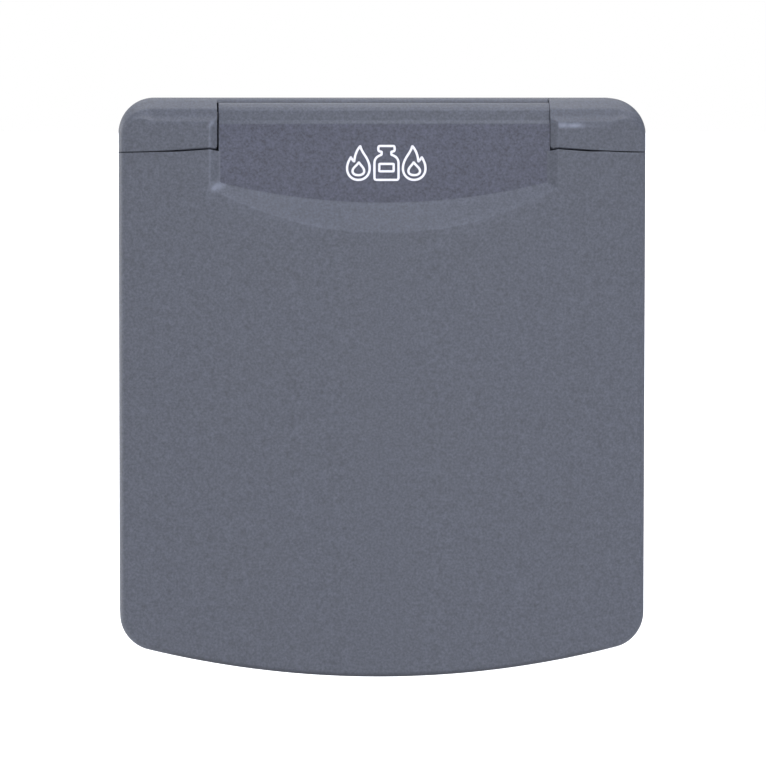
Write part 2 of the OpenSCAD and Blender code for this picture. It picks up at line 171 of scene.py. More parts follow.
def rings_solid(name, rings, cap=None):
    """A closed solid from closed loops of equal length. The first loop is capped with one face,
    the last with one face or with the triangles that cap(points) returns."""
    n = len(rings[0])
    verts = [tuple(p) for r in rings for p in r]
    faces = []
    for k in range(len(rings) - 1):
        for i in range(n):
            j = (i + 1) % n
            faces.append((k * n + i, k * n + j, (k + 1) * n + j, (k + 1) * n + i))
    faces.append(tuple(reversed(range(n))))
    base = (len(rings) - 1) * n
    if cap is None:
        faces.append(tuple(base + i for i in range(n)))
    else:
        extra, tris = cap(rings[-1])
        k0 = len(verts)
        verts += [tuple(p) for p in extra]
        for t in tris:
            faces.append(tuple(base + i if i < n else k0 + i - n for i in t))
    return obj_from(name, verts, faces)


def lifted_cap(points, f):
    """For rings_solid: triangulates the last loop in X and Z with extra points, lifted to y = f(x, z)."""
    def cap(loop):
        n = len(loop)
        flat = [Vector((p[0], p[2])) for p in loop] + [Vector(p) for p in points]
        out = geometry.delaunay_2d_cdt(flat, [], [list(range(n))], 1, 1e-5)
        co, tris, src = out[0], out[2], out[3]
        index, extra = [], []
        for i, s in enumerate(src):
            own = [k for k in s if k < n]
            if own:
                index.append(own[0])
            else:
                index.append(n + len(extra))
                extra.append((co[i].x, f(co[i].x, co[i].y), co[i].y))
        return extra, [tuple(index[k] for k in t) for t in tris if len({index[k] for k in t}) == 3]
    return cap


def arc(cx, cz, r, a0, a1, n):
    return [(cx + r * math.cos(math.radians(a0 + (a1 - a0) * i / n)),
             cz + r * math.sin(math.radians(a0 + (a1 - a0) * i / n))) for i in range(n + 1)]


def outline(e, nc=20, nb=56):
    ta = math.degrees(TA)
    return (arc(CX, CZT, CORNER_R - e, 0, 90, nc) + arc(-CX, CZT, CORNER_R - e, 90, 180, nc)
            + arc(-CX, CZB, CORNER_R - e, 180, 180 + ta, nc)
            + arc(0, BZ, BOTTOM_R - e, 180 + ta, 360 - ta, nb)[1:-1]
            + arc(CX, CZB, CORNER_R - e, 360 - ta, 360, nc))


def rounded(x0, z0, x1, z1, r, n=10):
    return (arc(x1 - r, z1 - r, r, 0, 90, n) + arc(x0 + r, z1 - r, r, 90, 180, n)
            + arc(x0 + r, z0 + r, r, 180, 270, n) + arc(x1 - r, z0 + r, r, 270, 360, n))


def offset_loop(pts, d):
    """A closed 2-D loop moved inwards by d along its corner normals."""
    p = np.array(pts, float)
    nxt, prv = np.roll(p, -1, 0), np.roll(p, 1, 0)
    area = 0.5 * np.sum(p[:, 0] * nxt[:, 1] - nxt[:, 0] * p[:, 1])
    s = 1.0 if area > 0 else -1.0
    e1, e2 = p - prv, nxt - p
    e1 /= np.linalg.norm(e1, axis=1)[:, None]
    e2 /= np.linalg.norm(e2, axis=1)[:, None]
    n1 = np.stack([-e1[:, 1], e1[:, 0]], 1) * s
    n2 = np.stack([-e2[:, 1], e2[:, 0]], 1) * s
    m = n1 + n2
    m /= np.maximum(np.sum(m * n1, 1), 0.35)[:, None]
    return p + m * d


def extrude(name, pts, a, b, place, r0=0.0, r1=0.0, n=3):
    """A loop made solid from a to b along a third axis, its two ends rounded by r0 and r1.
    place(u, v, w) turns loop coordinates and the third one into a point."""
    rings = []
    for k in range(n + 1):
        if r0 <= 0 and k < n:
            continue
        t = math.pi / 2 * k / n
        q = offset_loop(pts, r0 * (1 - math.sin(t))) if r0 > 0 else np.array(pts, float)
        w = a + r0 * (1 - math.cos(t)) if r0 > 0 else a
        rings.append([place(u, v, w) for u, v in q])
    for k in range(n + 1):
        if r1 <= 0 and k > 0:
            continue
        t = math.pi / 2 * k / n
        q = offset_loop(pts, r1 * (1 - math.cos(t))) if r1 > 0 else np.array(pts, float)
        w = b - r1 * (1 - math.sin(t)) if r1 > 0 else b
        rings.append([place(u, v, w) for u, v in q])
    return rings_solid(name, rings)


def slab(pts, y0, y1, r0=0.0, r1=0.0):
    return extrude("t", pts, y0, y1, lambda u, v, w: (u, w, v), r0, r1)


def bar(pts, x0, x1, r0=0.0, r1=0.0):
    return extrude("t", pts, x0, x1, lambda u, v, w: (w, u, v), r0, r1)


def block(x0, x1, y0, y1, z0, z1):
    return slab([(x0, z0), (x1, z0), (x1, z1), (x0, z1)], y0, y1)


def disc(cx, cy, r, n=64):
    return [(cx + r * math.cos(2 * math.pi * i / n), cy + r * math.sin(2 * math.pi * i / n)) for i in range(n)]


def axle(r, x0, x1, n=96):
    return bar(disc(-HY, HZ, r, n), x0, x1)


def peg(x, z, r, y0, y1, n=40):
    return slab(disc(x, z, r, n), y0, y1)


def turned_x(pts, n=160):
    """A solid turned about the hinge axis from (x, radius) points, running one way along X."""
    return rings_solid("t", [[(x, -HY + r * math.cos(2 * math.pi * k / n), HZ + r * math.sin(2 * math.pi * k / n)) for k in range(n)]
                             for x, r in pts])


def soften(pts, r, n=4, closed=False):
    """Rounds the corners of an open or closed line with short curves that start r before each corner."""
    out = []
    m = len(pts)
    for i, p in enumerate(pts):
        if not closed and i in (0, m - 1):
            out.append(tuple(p))
            continue
        a, b, c = Vector(pts[(i - 1) % m]), Vector(p), Vector(pts[(i + 1) % m])
        ra = min(r, 0.45 * (b - a).length)
        rc = min(r, 0.45 * (c - b).length)
        p0, p2 = b + (a - b).normalized() * ra, b + (c - b).normalized() * rc
        for k in range(n + 1):
            t = k / n
            out.append(tuple(p0 * (1 - t) ** 2 + b * 2 * t * (1 - t) + p2 * t * t))
    return out


def smax(a, b, k):
    h = max(k - abs(a - b), 0.0) / k
    return max(a, b) + h * h * k / 4


# --------------------------------------------------------------------------
# front face of the flap
# --------------------------------------------------------------------------
K_IN, K_OUT = 0.16, 0.13


def panel_depth(x, z):
    """The recessed panel's surface, before the crown limits it."""
    rho = math.hypot(x, z - PANEL_Z - PANEL_R)
    a = (rho - PANEL_R) / BEVEL_RUN
    b = (abs(x) - PANEL_HW) / SIDE_RUN
    return -PANEL_Y - smax(smax(0.0, a, K_IN), b, K_IN)


def face_y(x, z):
    return smax(yc(x), panel_depth(x, z), K_OUT)


def seam_z(x, r):
    """Height of the point where the front face meets a cylinder of radius r about the hinge."""
    y = face_y(x, 61.5) if abs(x) < 44.5 else yc(x)
    return HZ - math.sqrt(max(r * r - (y + HY) ** 2, 0.01))


def ease(t):
    t = min(max(t, 0.0), 1.0)
    return t * t * (3 - 2 * t)


LIP_W, LIP_D = 0.42, 0.16


def lid_y(x, z):
    y = face_y(x, z)
    s = seam_z(x, SEAM_R + SEAM_GAP) - z
    if s < LIP_W and abs(x) > 40.9:
        t = min(max(1 - s / LIP_W, 0.0), 1.0)
        y += LIP_D * t * t * ease((abs(x) - 41.0) / 0.9)
    return y


def edge_dist(x, z):
    """Distance inside the outline, for points below the top corners."""
    v = Vector((abs(x) - CX, z - CZB))
    if v.x > 0 and -math.degrees(TA) < math.degrees(math.atan2(v.y, v.x)) < 0:
        return CORNER_R - v.length
    return min(HALF_W - abs(x), BOTTOM_R - math.hypot(x, z - BZ))


def lid_blank():
    ta = math.degrees(TA)
    top = 62.0

    def path(e):
        zs = [top - 1.1 * i for i in range(int((top - CZB) / 1.1))]
        left = [(-HALF_W + e, z) for z in zs]
        low = (arc(-CX, CZB, CORNER_R - e, 180, 180 + ta, 24)
               + arc(0, BZ, BOTTOM_R - e, 180 + ta, 360 - ta, 84)[1:-1]
               + arc(CX, CZB, CORNER_R - e, 360 - ta, 360, 24))
        right = [(HALF_W - e, z) for z in reversed(zs)]
        return left + low + right
    rings = []
    for e, y in ((0.35, -5.4), (0.1, -5.47), (0.0, -5.75)):
        rings.append([(x, y, z) for x, z in path(e)])
    steps = 9
    for k in range(steps + 1):
        t = math.pi / 2 * k / steps
        e, d = EDGE_R * (1 - math.cos(t)), EDGE_R * (1 - math.sin(t))
        rings.append([(x, yc(x) + d, z) for x, z in path(e)])
    pts = set()

    def add(x, z, keep=EDGE_R + 0.15):
        if z < top - 0.12 and edge_dist(x, z) > keep:
            pts.add((round(x, 4), round(z, 4)))
    # plain face
    for i in range(-32, 33):
        for j in range(-36, 31):
            x, z = 2.0 * i + (0.9 if j % 2 else 0.0), 2.0 * j
            rho = math.hypot(x, z - PANEL_Z - PANEL_R)
            if rho > PANEL_R + 8.6 or abs(x) > 45.2:
                if z < seam_z(x, SEAM_R + SEAM_GAP) - 0.8:
                    add(x, z)
    # inside the panel and on the curved bevel
    for i in range(-27, 28):
        x = 1.5 * i
        if abs(x) > 40.4:
            continue
        zi = PANEL_Z + PANEL_R - math.sqrt(PANEL_R ** 2 - x * x)
        for z in [zi + 0.9 + 1.5 * k for k in range(12)]:
            add(x, z)
    grid = [i * 0.75 for i in range(-54, 55)]
    dl = [-1.35, -1.0, -0.72, -0.5, -0.3, -0.1, 0.1, 0.3, 0.5, 0.72, 1.0, 1.35]
    for x in grid:
        for d in dl:
            r = PANEL_R + d * K_IN * BEVEL_RUN
            add(x, PANEL_Z + PANEL_R - math.sqrt(r * r - x * x))
            r = PANEL_R + BEVEL_RUN * (-PANEL_Y - yc(x) + d * K_OUT)
            add(x, PANEL_Z + PANEL_R - math.sqrt(r * r - x * x))
        depth = -PANEL_Y - yc(x)
        m = max(int(depth / 0.7), 1)
        for k in range(1, m):
            r = PANEL_R + BEVEL_RUN * depth * k / m
            if 0.16 < depth * k / m < depth - 0.13:
                add(x, PANEL_Z + PANEL_R - math.sqrt(r * r - x * x))
    # upright bevels beside the panel, and the corners where they meet the curved one
    xo = 43.45
    for s in (-1, 1):
        for d in dl:
            for k in range(18):
                z = 53.2 + 0.5 * k
                add(s * (PANEL_HW + d * K_IN * SIDE_RUN), z)
                add(s * (xo + d * K_OUT * SIDE_RUN), z)
        for i in range(26):
            for j in range(26):
                add(s * (39.9 + 0.2 * i), 48.1 + 0.2 * j)
        for k in range(5):
            add(s * 42.2, 54.0 + 1.2 * k)
    # softened upper edge along the seam
    xs = [41.2 + 0.5 * k for k in range(46)]
    for s in (-1, 1):
        for x in xs:
            zs = seam_z(s * x, SEAM_R + SEAM_GAP)
            for d in (-0.5, -0.2, 0.0, 0.05, 0.12, 0.2, 0.28, 0.36, 0.42, 0.5):
                add(s * x, zs - d)
    return rings_solid("lid_body", rings, lifted_cap(sorted(pts), lid_y))


def panel_tool(t):
    """The recess of the panel, drawn outwards by t."""
    y0 = -PANEL_Y + t
    ln = 8 + t
    r0 = PANEL_R - BEVEL_RUN * t + t * math.sqrt(1 + BEVEL_RUN ** 2)
    x0 = PANEL_HW - SIDE_RUN * t + t * math.sqrt(1 + SIDE_RUN ** 2)
    cz = PANEL_Z + PANEL_R
    n = 360
    cone = rings_solid("t", [[(r * math.cos(2 * math.pi * i / n), y, cz + r * math.sin(2 * math.pi * i / n)) for i in range(n)]
                             for r, y in ((r0, y0), (r0 + BEVEL_RUN * ln, y0 - ln))])
    prism = rings_solid("t", [[(x, y, z) for x, y in ((-x0, y0), (x0, y0), (x0 + SIDE_RUN * ln, y0 - ln), (-x0 - SIDE_RUN * ln, y0 - ln))]
                              for z in (15, 85)])
    return common(cone, prism)


def behind_crown(t):
    n = 420
    return rings_solid("t", [[((CROWN_R - t) * math.cos(2 * math.pi * i / n), CROWN_R - CROWN_Y + (CROWN_R - t) * math.sin(2 * math.pi * i / n), z)
                              for i in range(n)] for z in (-90, 90)])


def seal_ring(a, b, y0, y1, r0=0.0):
    o = slab(rounded(-MOUTH_HW - 1 - b, MOUTH_LO - 1 - b, MOUTH_HW + 1 + b, MOUTH_HI + 1 + b, 11 + b), y0, y1, r0)
    return cut(o, slab(rounded(-MOUTH_HW - 1 + a, MOUTH_LO - 1 + a, MOUTH_HW + 1 - a, MOUTH_HI + 1 - a, 11 - a), y0 - 1, y1 + 1))


def flap_hollow():
    h = slab(outline(WALL), -30, -5)
    common(h, behind_crown(WALL), block(-80, 80, -40, 0, -90, 56.7))
    ch = cut(seal_ring(2.1, 2.1, -40, -11), seal_ring(1.3, 1.3, -13.5, -10))
    return cut(h, panel_tool(WALL), ch)


def at_hinge(pts):
    return [(-HY + a, HZ + b) for a, b in pts]


TAB_OUT = [[-3.5, -13.5], [-3.5, -1.4], [-3.4, -1.15], [-2.9, -0.5], [-2.3, 1.9], [-1.6, 2.7], [-0.6, 3.45], [0, 3.75], [0.5, 3.84], [1.05, 3.72], [1.58, 3.5]]
TAB_IN = [[1.10, 2.36], [0.2, 2.35], [-0.6, 1.75], [-1.0, 0.8], [-1.0, -13.5]]


def tab():
    out = soften(TAB_OUT, 0.28, 5)
    inn = soften(TAB_IN, 0.3, 3)
    tip0, tip1 = Vector(TAB_OUT[-1]), Vector(TAB_IN[0])
    mid = tip0.lerp(tip1, 0.5)
    loop = out[:-1] + soften([out[-2], tuple(tip0), tuple(mid), tuple(tip1), inn[1]], 0.2, 3)[1:-1] + inn[1:]
    t = bar(at_hinge(loop), -TAB_LEFT, TAB_RIGHT, 0.3, 0.08)
    cheek = [[-3.5, -9]] + [TAB_OUT[i] for i in range(1, 10)] + [list(p) for p in arc(0, 0, 3.7, 65, -60, 20)] + [[-1.0, -5.5], [-1.0, -9]]
    for i in range(10):
        cheek[i] = [cheek[i][0] + 0.04, cheek[i][1] - (0.04 if i > 1 else 0)]
    join(t, bar(at_hinge(cheek), -TAB_LEFT + 0.01, -36.5, 0.3, 0.15), bar(at_hinge(cheek), 36.5, TAB_RIGHT - 0.02, 0.15, 0.1))
    return t


def make_lid():
    ob = lid_blank()
    gap = [(s * x, SEAM_R + q) for s, xs in ((-1, (80, 57, 51)), (1, (51.5, 55.5, 80))) for x, q in zip(xs, (0.25, 0.25, SEAM_GAP) if s < 0 else (SEAM_GAP, 0.25, 0.25))]
    cut(ob, turned_x(gap, 240),
        block(-80, 80, -HY + 0.7, -HY + 20.7, HZ - SEAM_R - SEAM_GAP + 0.1, HZ + 22),
        block(62.3, 80, -14.9, 5, 57.4, 62), block(-80, -62.3, -14.9, 5, 57.4, 62), flap_hollow())
    join(ob, tab())
    cut(ob, axle(PIN_R + 0.01, -45, -35), axle(PIN_R + 0.01, 35, 45), axle(2.25, 25.6, 36.5),
        bar(disc(-HY + 1.76, HZ + 0.7, 0.4, 24), 36, 39))
    ob.name = ob.data.name = "flap_shell"
    return smooth(weld(ob))


# --------------------------------------------------------------------------
# frame with its two shoulders
# --------------------------------------------------------------------------
ROLL = [(0, 6.5), (0.12, 5.9), (0.55, 5.0), (2.45, 2.4), (2.8, 2.1), (4.5, 1.35), (5.8, 0.1), (6.4, 0)]


def roll_samples():
    """(inset, set-back) of the top edge with softened corners, with the matching place on the sides' round-over."""
    fillet = [0, 0.25, 0.35, 0.3, 0.2, 0.5, 0.45, 0]
    out = [(0.0, ROLL[0])]
    for k in range(1, 7):
        a, b, c = Vector(ROLL[k - 1]), Vector(ROLL[k]), Vector(ROLL[k + 1])
        ta = min(0.45, fillet[k] / (b - a).length)
        tc = min(0.45, fillet[k] / (c - b).length)
        p0, p2 = b.lerp(a, ta), b.lerp(c, tc)
        for i in range(6):
            t = i / 5
            s = (k - ta) + (ta + tc) * t
            out.append((s, tuple(p0 * (1 - t) ** 2 + b * 2 * t * (1 - t) + p2 * t * t)))
    for t in (0.55, 0.75, 0.9, 1.0):
        out.append((6 + t, tuple(Vector(ROLL[6]).lerp(Vector(ROLL[7]), t))))
    return out


def side_bevel(x):
    """The panel's upright side bevel, which runs on over the shoulders."""
    return -PANEL_Y - (abs(x) - PANEL_HW) / SIDE_RUN


def shoulder_y(x, z):
    y = smax(yc(x), side_bevel(x), K_OUT)
    s = z - seam_z(x, SEAM_R)
    if s < 0.3:
        t = min(max(1 - s / 0.3, 0.0), 1.0)
        y += 0.08 * t * t
    i = abs(x) - SHOULDER_X
    if i < 0.35:
        t = min(max(1 - i / 0.35, 0.0), 1.0)
        y += (0.12 if x < 0 else 0.03) * t * t
    return y


def top_blank(front=shoulder_y):
    low = 52.0
    cols = [(-HALF_W, z, 180.0, 0.0) for z in (52.0, 54.0, 56.0, 57.5, 58.5, 59.25, 60.0, 61.0, 62.3)]
    nc = 24
    for i in range(nc + 1):
        a = 180 - 90 * i / nc
        cols.append((-CX + CORNER_R * math.cos(math.radians(a)), CZT + CORNER_R * math.sin(math.radians(a)), a, ease(i / nc)))
    fine = np.arange(41.3, 44.75, 0.15)
    across = sorted([x for x in np.arange(-55.5, 55.6, 1.5) if not 41.0 < abs(x) < 45.0] + list(fine) + list(-fine))
    cols += [(x, HALF_H, 90.0, 1.0) for x in across]
    for i in range(nc + 1):
        a = 90 - 90 * i / nc
        cols.append((CX + CORNER_R * math.cos(math.radians(a)), CZT + CORNER_R * math.sin(math.radians(a)), a, ease(1 - i / nc)))
    cols += [(HALF_W, z, 0.0, 0.0) for z in (62.3, 61.0, 60.0, 59.25, 58.5, 57.5, 56.0, 54.0, 52.0)]
    rings = [[(c[0], -2.0, c[1]) for c in cols]]
    for s, (re, rd) in roll_samples():
        q = math.radians(90 * s / 7)
        se, sd = EDGE_R * (1 - math.cos(q)), EDGE_R * (1 - math.sin(q))
        ring = []
        for x, z, a, w in cols:
            e, d = w * re + (1 - w) * se, w * rd + (1 - w) * sd
            px, pz = x - e * math.cos(math.radians(a)), z - e * math.sin(math.radians(a))
            ring.append((px, smax(yc(px) + d, side_bevel(px), K_OUT), pz))
        rings.append(ring)
    rim = {}
    for x, y, z in rings[-1]:
        rim[round(x, 1)] = max(z, rim.get(round(x, 1), -1e9))
    pts = set()

    def add(x, z):
        lim = 66.1 if abs(x) < CX else CZT + (66.1 - CZT) * math.sqrt(max(0.0, 1 - ((abs(x) - CX) / (CORNER_R - EDGE_R)) ** 2))
        if low + 0.2 < z < lim - 0.35 and abs(x) < 63.6:
            pts.add((round(float(x), 4), round(float(z), 4)))
    for s in (-1, 1):
        for x in np.arange(41.9, 63.7, 0.7):
            zs = seam_z(x, SEAM_R)
            for d in (-1.2, -0.4, -0.1, 0.0, 0.05, 0.11, 0.18, 0.25, 0.32, 0.6, 1.2, 2.0, 3.0, 4.0, 5.0, 6.0):
                add(s * x, zs + d)
        for x in [41.2, 41.5, 41.6, 41.65, 41.72, 41.8, 41.88, 41.96, 42.1] + list(np.arange(42.3, 44.4, 0.15)):
            for z in np.arange(58.0, 66.3, 0.4):
                add(s * x, z)
        for x in np.arange(44.6, 58, 0.6):
            for z in (64.75, 65.05, 65.3, 65.5, 65.7):
                add(s * x, z)
    for x in np.arange(-40, 40.1, 4):
        for z in (55, 58, 61, 64):
            add(x, z)
    return rings_solid("t", rings, lifted_cap(sorted(pts), front))


def shoulder_room(s):
    """Everything in front of the shoulder's lower seam, its inner corner rounded."""
    r, x0, x1 = SEAM_R, SHOULDER_X, 80.0
    c = 0.9
    prof = [(s * x, q) for x, q in [(x1, r)] + [(x0 + c - c * math.sin(t), r - c + c * math.cos(t)) for t in np.linspace(0, math.pi / 2, 8)]]
    o = turned_x(prof, 240)
    lo, hi = sorted((s * x0, s * x1))
    join(o, block(lo, hi, -HY + 0.7, -HY + 12.7, HZ - r + 0.1, HZ + 22))
    # a tongue behind the flap's edge, which closes the seam's view at the side
    lo, hi = sorted((s * 62.6, s * 80.0))
    join(o, block(lo, hi, -14.6, -3.6, 57.8, HZ - r + 0.2))
    # the part of the corner above the axis is full width, up to the top edge
    lo, hi = sorted((s * x0, s * x1))
    join(o, block(lo, hi, -HY - 6.5, -HY + 6, HZ, HZ + 22))
    return o


def shoulder_hollow(s):
    h = slab(outline(2.4), -30, -1)
    prof = [(-1, 62), (-30, 62), (-30, 65.6), (-17.5, 65.6), (-12.5, 69.6), (-1, 69.6)]
    lo, hi = sorted((s * (SHOULDER_X + 2.3), s * 80.0))
    common(h, behind_crown(2.4), bar(prof, lo, hi))
    lo, hi = sorted((s * (SHOULDER_X + 1), s * 49.0))
    return cut(h, axle(4, lo, hi, 64))


def stop_rib(x):
    return bar([(-HY + a, HZ + b) for a, b in ((1.67, -1.73), (3.27, -3.38), (4.2, -2.2), (13, -2.2), (13, -7), (1.67, -7))], x, x + 3, 0.2, 0.2)


def make_frame():
    fl = slab(outline(0), -5, -2, 0.35, 0.0)
    for s in (-1, 1):
        join(fl, common(top_blank(), shoulder_room(s)))
    prof = soften([(-4, 70.3), (-4, 72.5), (-13.3, 72.5), (-13.95, 72.2), (-14.53, 71.55), (-14.53, 70.3)], 0.22, 6, True)
    hood = bar(prof, -SHOULDER_X - 1, SHOULDER_X + 1)
    join(fl, cut(hood, axle(SWEEP_R, -SHOULDER_X, SHOULDER_X, 200)))
    rim = slab(rounded(-MOUTH_HW - 2, MOUTH_LO - 2, MOUTH_HW + 2, MOUTH_HI + 2, 12), -9, -4, 0.5)
    join(fl, rim, stop_rib(-21), stop_rib(18), block(25.7, 28.7, -9.5, -3.5, 61.4, 63.1))
    cut(fl, slab(rounded(-MOUTH_HW, MOUTH_LO, MOUTH_HW, MOUTH_HI, 10), -10, 0), shoulder_hollow(1), shoulder_hollow(-1),
        axle(PIN_R + PIN_GAP, SHOULDER_X - 1, 50), axle(PIN_R + PIN_GAP, -50, 1 - SHOULDER_X))
    for x in (-58, 58):
        for z in (-48, 46):
            cut(fl, peg(x, z, 2.0, -20, 10))
            c = rings_solid("t", [[(x + q * math.cos(2 * math.pi * i / 40), y, z + q * math.sin(2 * math.pi * i / 40)) for i in range(40)] for q, y in ((2.6, -5.3), (1.9, -4.6))])
            cut(fl, c)
    for x in (-47.5, 47.5):
        for z in (-53.5, 47.5):
            cut(fl, peg(x, z, 1.65, -20, 10))
    fl.name = fl.data.name = "frame_shell"
    return smooth(weld(fl))


# --------------------------------------------------------------------------
# printed marks on the panel: two plain flames and a gas bottle, drawn in line
# --------------------------------------------------------------------------
def bezier(segs, n=26):
    """Points along cubic curves given as (start, control, control, end)."""
    out = []
    for a, b, c, d in segs:
        a, b, c, d = (Vector(p) for p in (a, b, c, d))
        for i in range(n):
            t = i / n
            out.append(tuple(a * (1 - t) ** 3 + b * 3 * t * (1 - t) ** 2 + c * 3 * t * t * (1 - t) + d * t ** 3))
    return out


def round_line(pts, r):
    """A closed line with its sharp corners rounded, in even steps."""
    p = np.array(soften(pts, r, 6, True), float)
    for _ in range(2):
        seg = np.linalg.norm(np.roll(p, -1, 0) - p, axis=1)
        s = np.concatenate([[0], np.cumsum(seg)])
        n = max(int(s[-1] / 0.09), 24)
        q = np.linspace(0, s[-1], n, endpoint=False)
        closed = np.vstack([p, p[:1]])
        p = np.stack([np.interp(q, s, closed[:, 0]), np.interp(q, s, closed[:, 1])], 1)
        p = 0.25 * np.roll(p, 1, 0) + 0.5 * p + 0.25 * np.roll(p, -1, 0)
    return p


FLAME = [((0.55, 9.0), (0.75, 7.2), (3.0, 5.7), (3.0, 3.05)), ((3.0, 3.05), (3.0, 1.3), (1.75, 0), (0, 0)),
         ((0, 0), (-1.75, 0), (-3.0, 1.3), (-3.0, 3.05)), ((-3.0, 3.05), (-3.0, 4.3), (-2.5, 5.1), (-2.0, 6.05)),
         ((-2.0, 6.05), (-1.75, 5.5), (-1.45, 5.1), (-1.1, 4.85)), ((-1.1, 4.85), (-1.0, 6.5), (-0.4, 8.0), (0.55, 9.0))]
CORE = [((0.15, 4.7), (0.5, 3.9), (1.55, 3.3), (1.55, 2.35)), ((1.55, 2.35), (1.55, 1.6), (0.85, 1.25), (0, 1.25)),
        ((0, 1.25), (-0.85, 1.25), (-1.55, 1.6), (-1.55, 2.35)), ((-1.55, 2.35), (-1.55, 3.2), (-0.5, 3.7), (0.15, 4.7))]
BOTTLE = [((0, 0), (0.9, 0), (1.6, 0), (2.5, 0)), ((2.5, 0), (2.9, 0), (3.1, 0.2), (3.1, 0.6)),
          ((3.1, 0.6), (3.1, 1.8), (3.1, 3.0), (3.1, 4.2)), ((3.1, 4.2), (3.1, 5.6), (2.3, 6.1), (1.25, 6.45)),
          ((1.25, 6.45), (1.25, 6.8), (1.25, 7.0), (1.25, 7.25)), ((1.25, 7.25), (1.9, 7.25), (2.1, 7.4), (2.1, 7.8)),
          ((2.1, 7.8), (2.1, 8.4), (2.1, 8.7), (1.7, 8.7)), ((1.7, 8.7), (0.6, 8.7), (-0.6, 8.7), (-1.7, 8.7)),
          ((-1.7, 8.7), (-2.1, 8.7), (-2.1, 8.4), (-2.1, 7.8)), ((-2.1, 7.8), (-2.1, 7.4), (-1.9, 7.25), (-1.25, 7.25)),
          ((-1.25, 7.25), (-1.25, 7.0), (-1.25, 6.8), (-1.25, 6.45)), ((-1.25, 6.45), (-2.3, 6.1), (-3.1, 5.6), (-3.1, 4.2)),
          ((-3.1, 4.2), (-3.1, 3.0), (-3.1, 1.8), (-3.1, 0.6)), ((-3.1, 0.6), (-3.1, 0.2), (-2.9, 0), (-2.5, 0)),
          ((-2.5, 0), (-1.6, 0), (-0.9, 0), (0, 0))]
LABEL = [((1.85, 2.2), (1.85, 2.9), (1.85, 3.6), (1.85, 4.1)), ((1.85, 4.1), (0.6, 4.1), (-0.6, 4.1), (-1.85, 4.1)),
         ((-1.85, 4.1), (-1.85, 3.6), (-1.85, 2.9), (-1.85, 2.2)), ((-1.85, 2.2), (-0.6, 2.2), (0.6, 2.2), (1.85, 2.2))]


def inked(lines, half=0.28):
    """Closed lines laid on the panel as a thin film of ink with soft edges."""
    verts, faces = [], []
    for p in lines:
        n, k = len(p), len(verts)
        for w, d in ((half, -0.03), (half, 0.012), (half - 0.05, 0.024), (-half + 0.05, 0.024), (-half, 0.012), (-half, -0.03)):
            q = offset_loop(p, -w)
            verts += [(x, -PANEL_Y - d, z) for x, z in q]
        for r in range(6):
            for i in range(n):
                j = (i + 1) % n
                a, b = k + r * n, k + (r + 1) % 6 * n
                faces.append((a + i, a + j, b + j, b + i))
    return obj_from("printed_marks", verts, faces)


def make_marks():
    lines = []
    for x, s, art in ((-6.4, 1, (FLAME, CORE)), (0.62, 1, (BOTTLE, LABEL)), (7.55, -1, (FLAME, CORE))):
        for segs in art:
            p = round_line([(s * u, v) for u, v in bezier(segs)], 0.3)
            lines.append(p * (0.97 if art[0] is FLAME else 1.0) * (8.45 / 8.73 if art[0] is FLAME else 8.45 / 8.7) + np.array([x, 52.24]))
    return smooth(inked(lines), 50)


def edge_line(d, w=0.24):
    return math.exp(-0.5 * (d / w) ** 2)


def painted_highlight(x, y, z):
    """Painted highlight on the edges round the panel, as an amount from 0: lighter lines that stand in for edge
    highlights.
    """
    if y > -14 or z < 40:
        return 0.0
    side = 1.25 if x < 0 else 0.22
    rho = math.hypot(x, z - PANEL_Z - PANEL_R)
    ax = abs(x)
    w = 0.0
    if 50.1 < z < 66.1:
        w = max(w, side * edge_line(ax - 43.45))
    if 51.4 < z < 61.5:
        w = max(w, 0.6 * side * edge_line(ax - PANEL_HW))
    if ax < 43.5 and z < 60:
        w = max(w, (0.6 if x < 25 else 0.45) * edge_line(rho - PANEL_R - BEVEL_RUN * (-PANEL_Y - yc(x))))
    if ax < 41.1 and z < 60:
        w = max(w, 0.3 * edge_line(rho - PANEL_R))
    # painted highlights on the lower left corner and on the left shoulder's ridge, and a painted glint on the right
    # shoulder's ridge
    t = min(max(((x + 42.5) * 2.1 + (z - 50.1) * 1.4) / (2.1 ** 2 + 1.4 ** 2), 0.0), 1.0)
    w = max(w, 2.35 * edge_line(math.hypot(x + 42.5 - 2.1 * t, z - 50.1 - 1.4 * t), 0.8))
    if 43.3 < x < 58:
        w = max(w, (0.5 + 3.9 * ease((52.4 - x) / 6.0)) * ease((x - 43.3) / 0.5) * ease((58 - x) / 4) * edge_line(z - 65.8, 0.42))
    if -46 < x < -40.5 and z > 60:
        w = max(w, 3.2 * edge_line(abs(x + 43.0 - 0.7 * (z - 66.3)), 0.38) * edge_line(z - 66.3, 0.6))
    return w


def painted_bottom_shade(x, y, z):
    """Painted shade along the lower edge, from 0 to 1."""
    if z > -40 or y > -14:
        return 0.0
    return ease((1.25 - edge_dist(x, z)) / 0.95) * ease((61 - abs(x)) / 12)


def painted_light(ob):
    # stores the painted shade on the lower edge and the painted highlights on the edges as point attributes
    at = ob.data.attributes.new("painted_shade", "FLOAT", "POINT")
    at.data.foreach_set("value", [painted_bottom_shade(*(c / MM for c in v.co)) for v in ob.data.vertices])
    at = ob.data.attributes.new("painted_light", "FLOAT", "POINT")
    at.data.foreach_set("value", [painted_highlight(*(c / MM for c in v.co)) for v in ob.data.vertices])


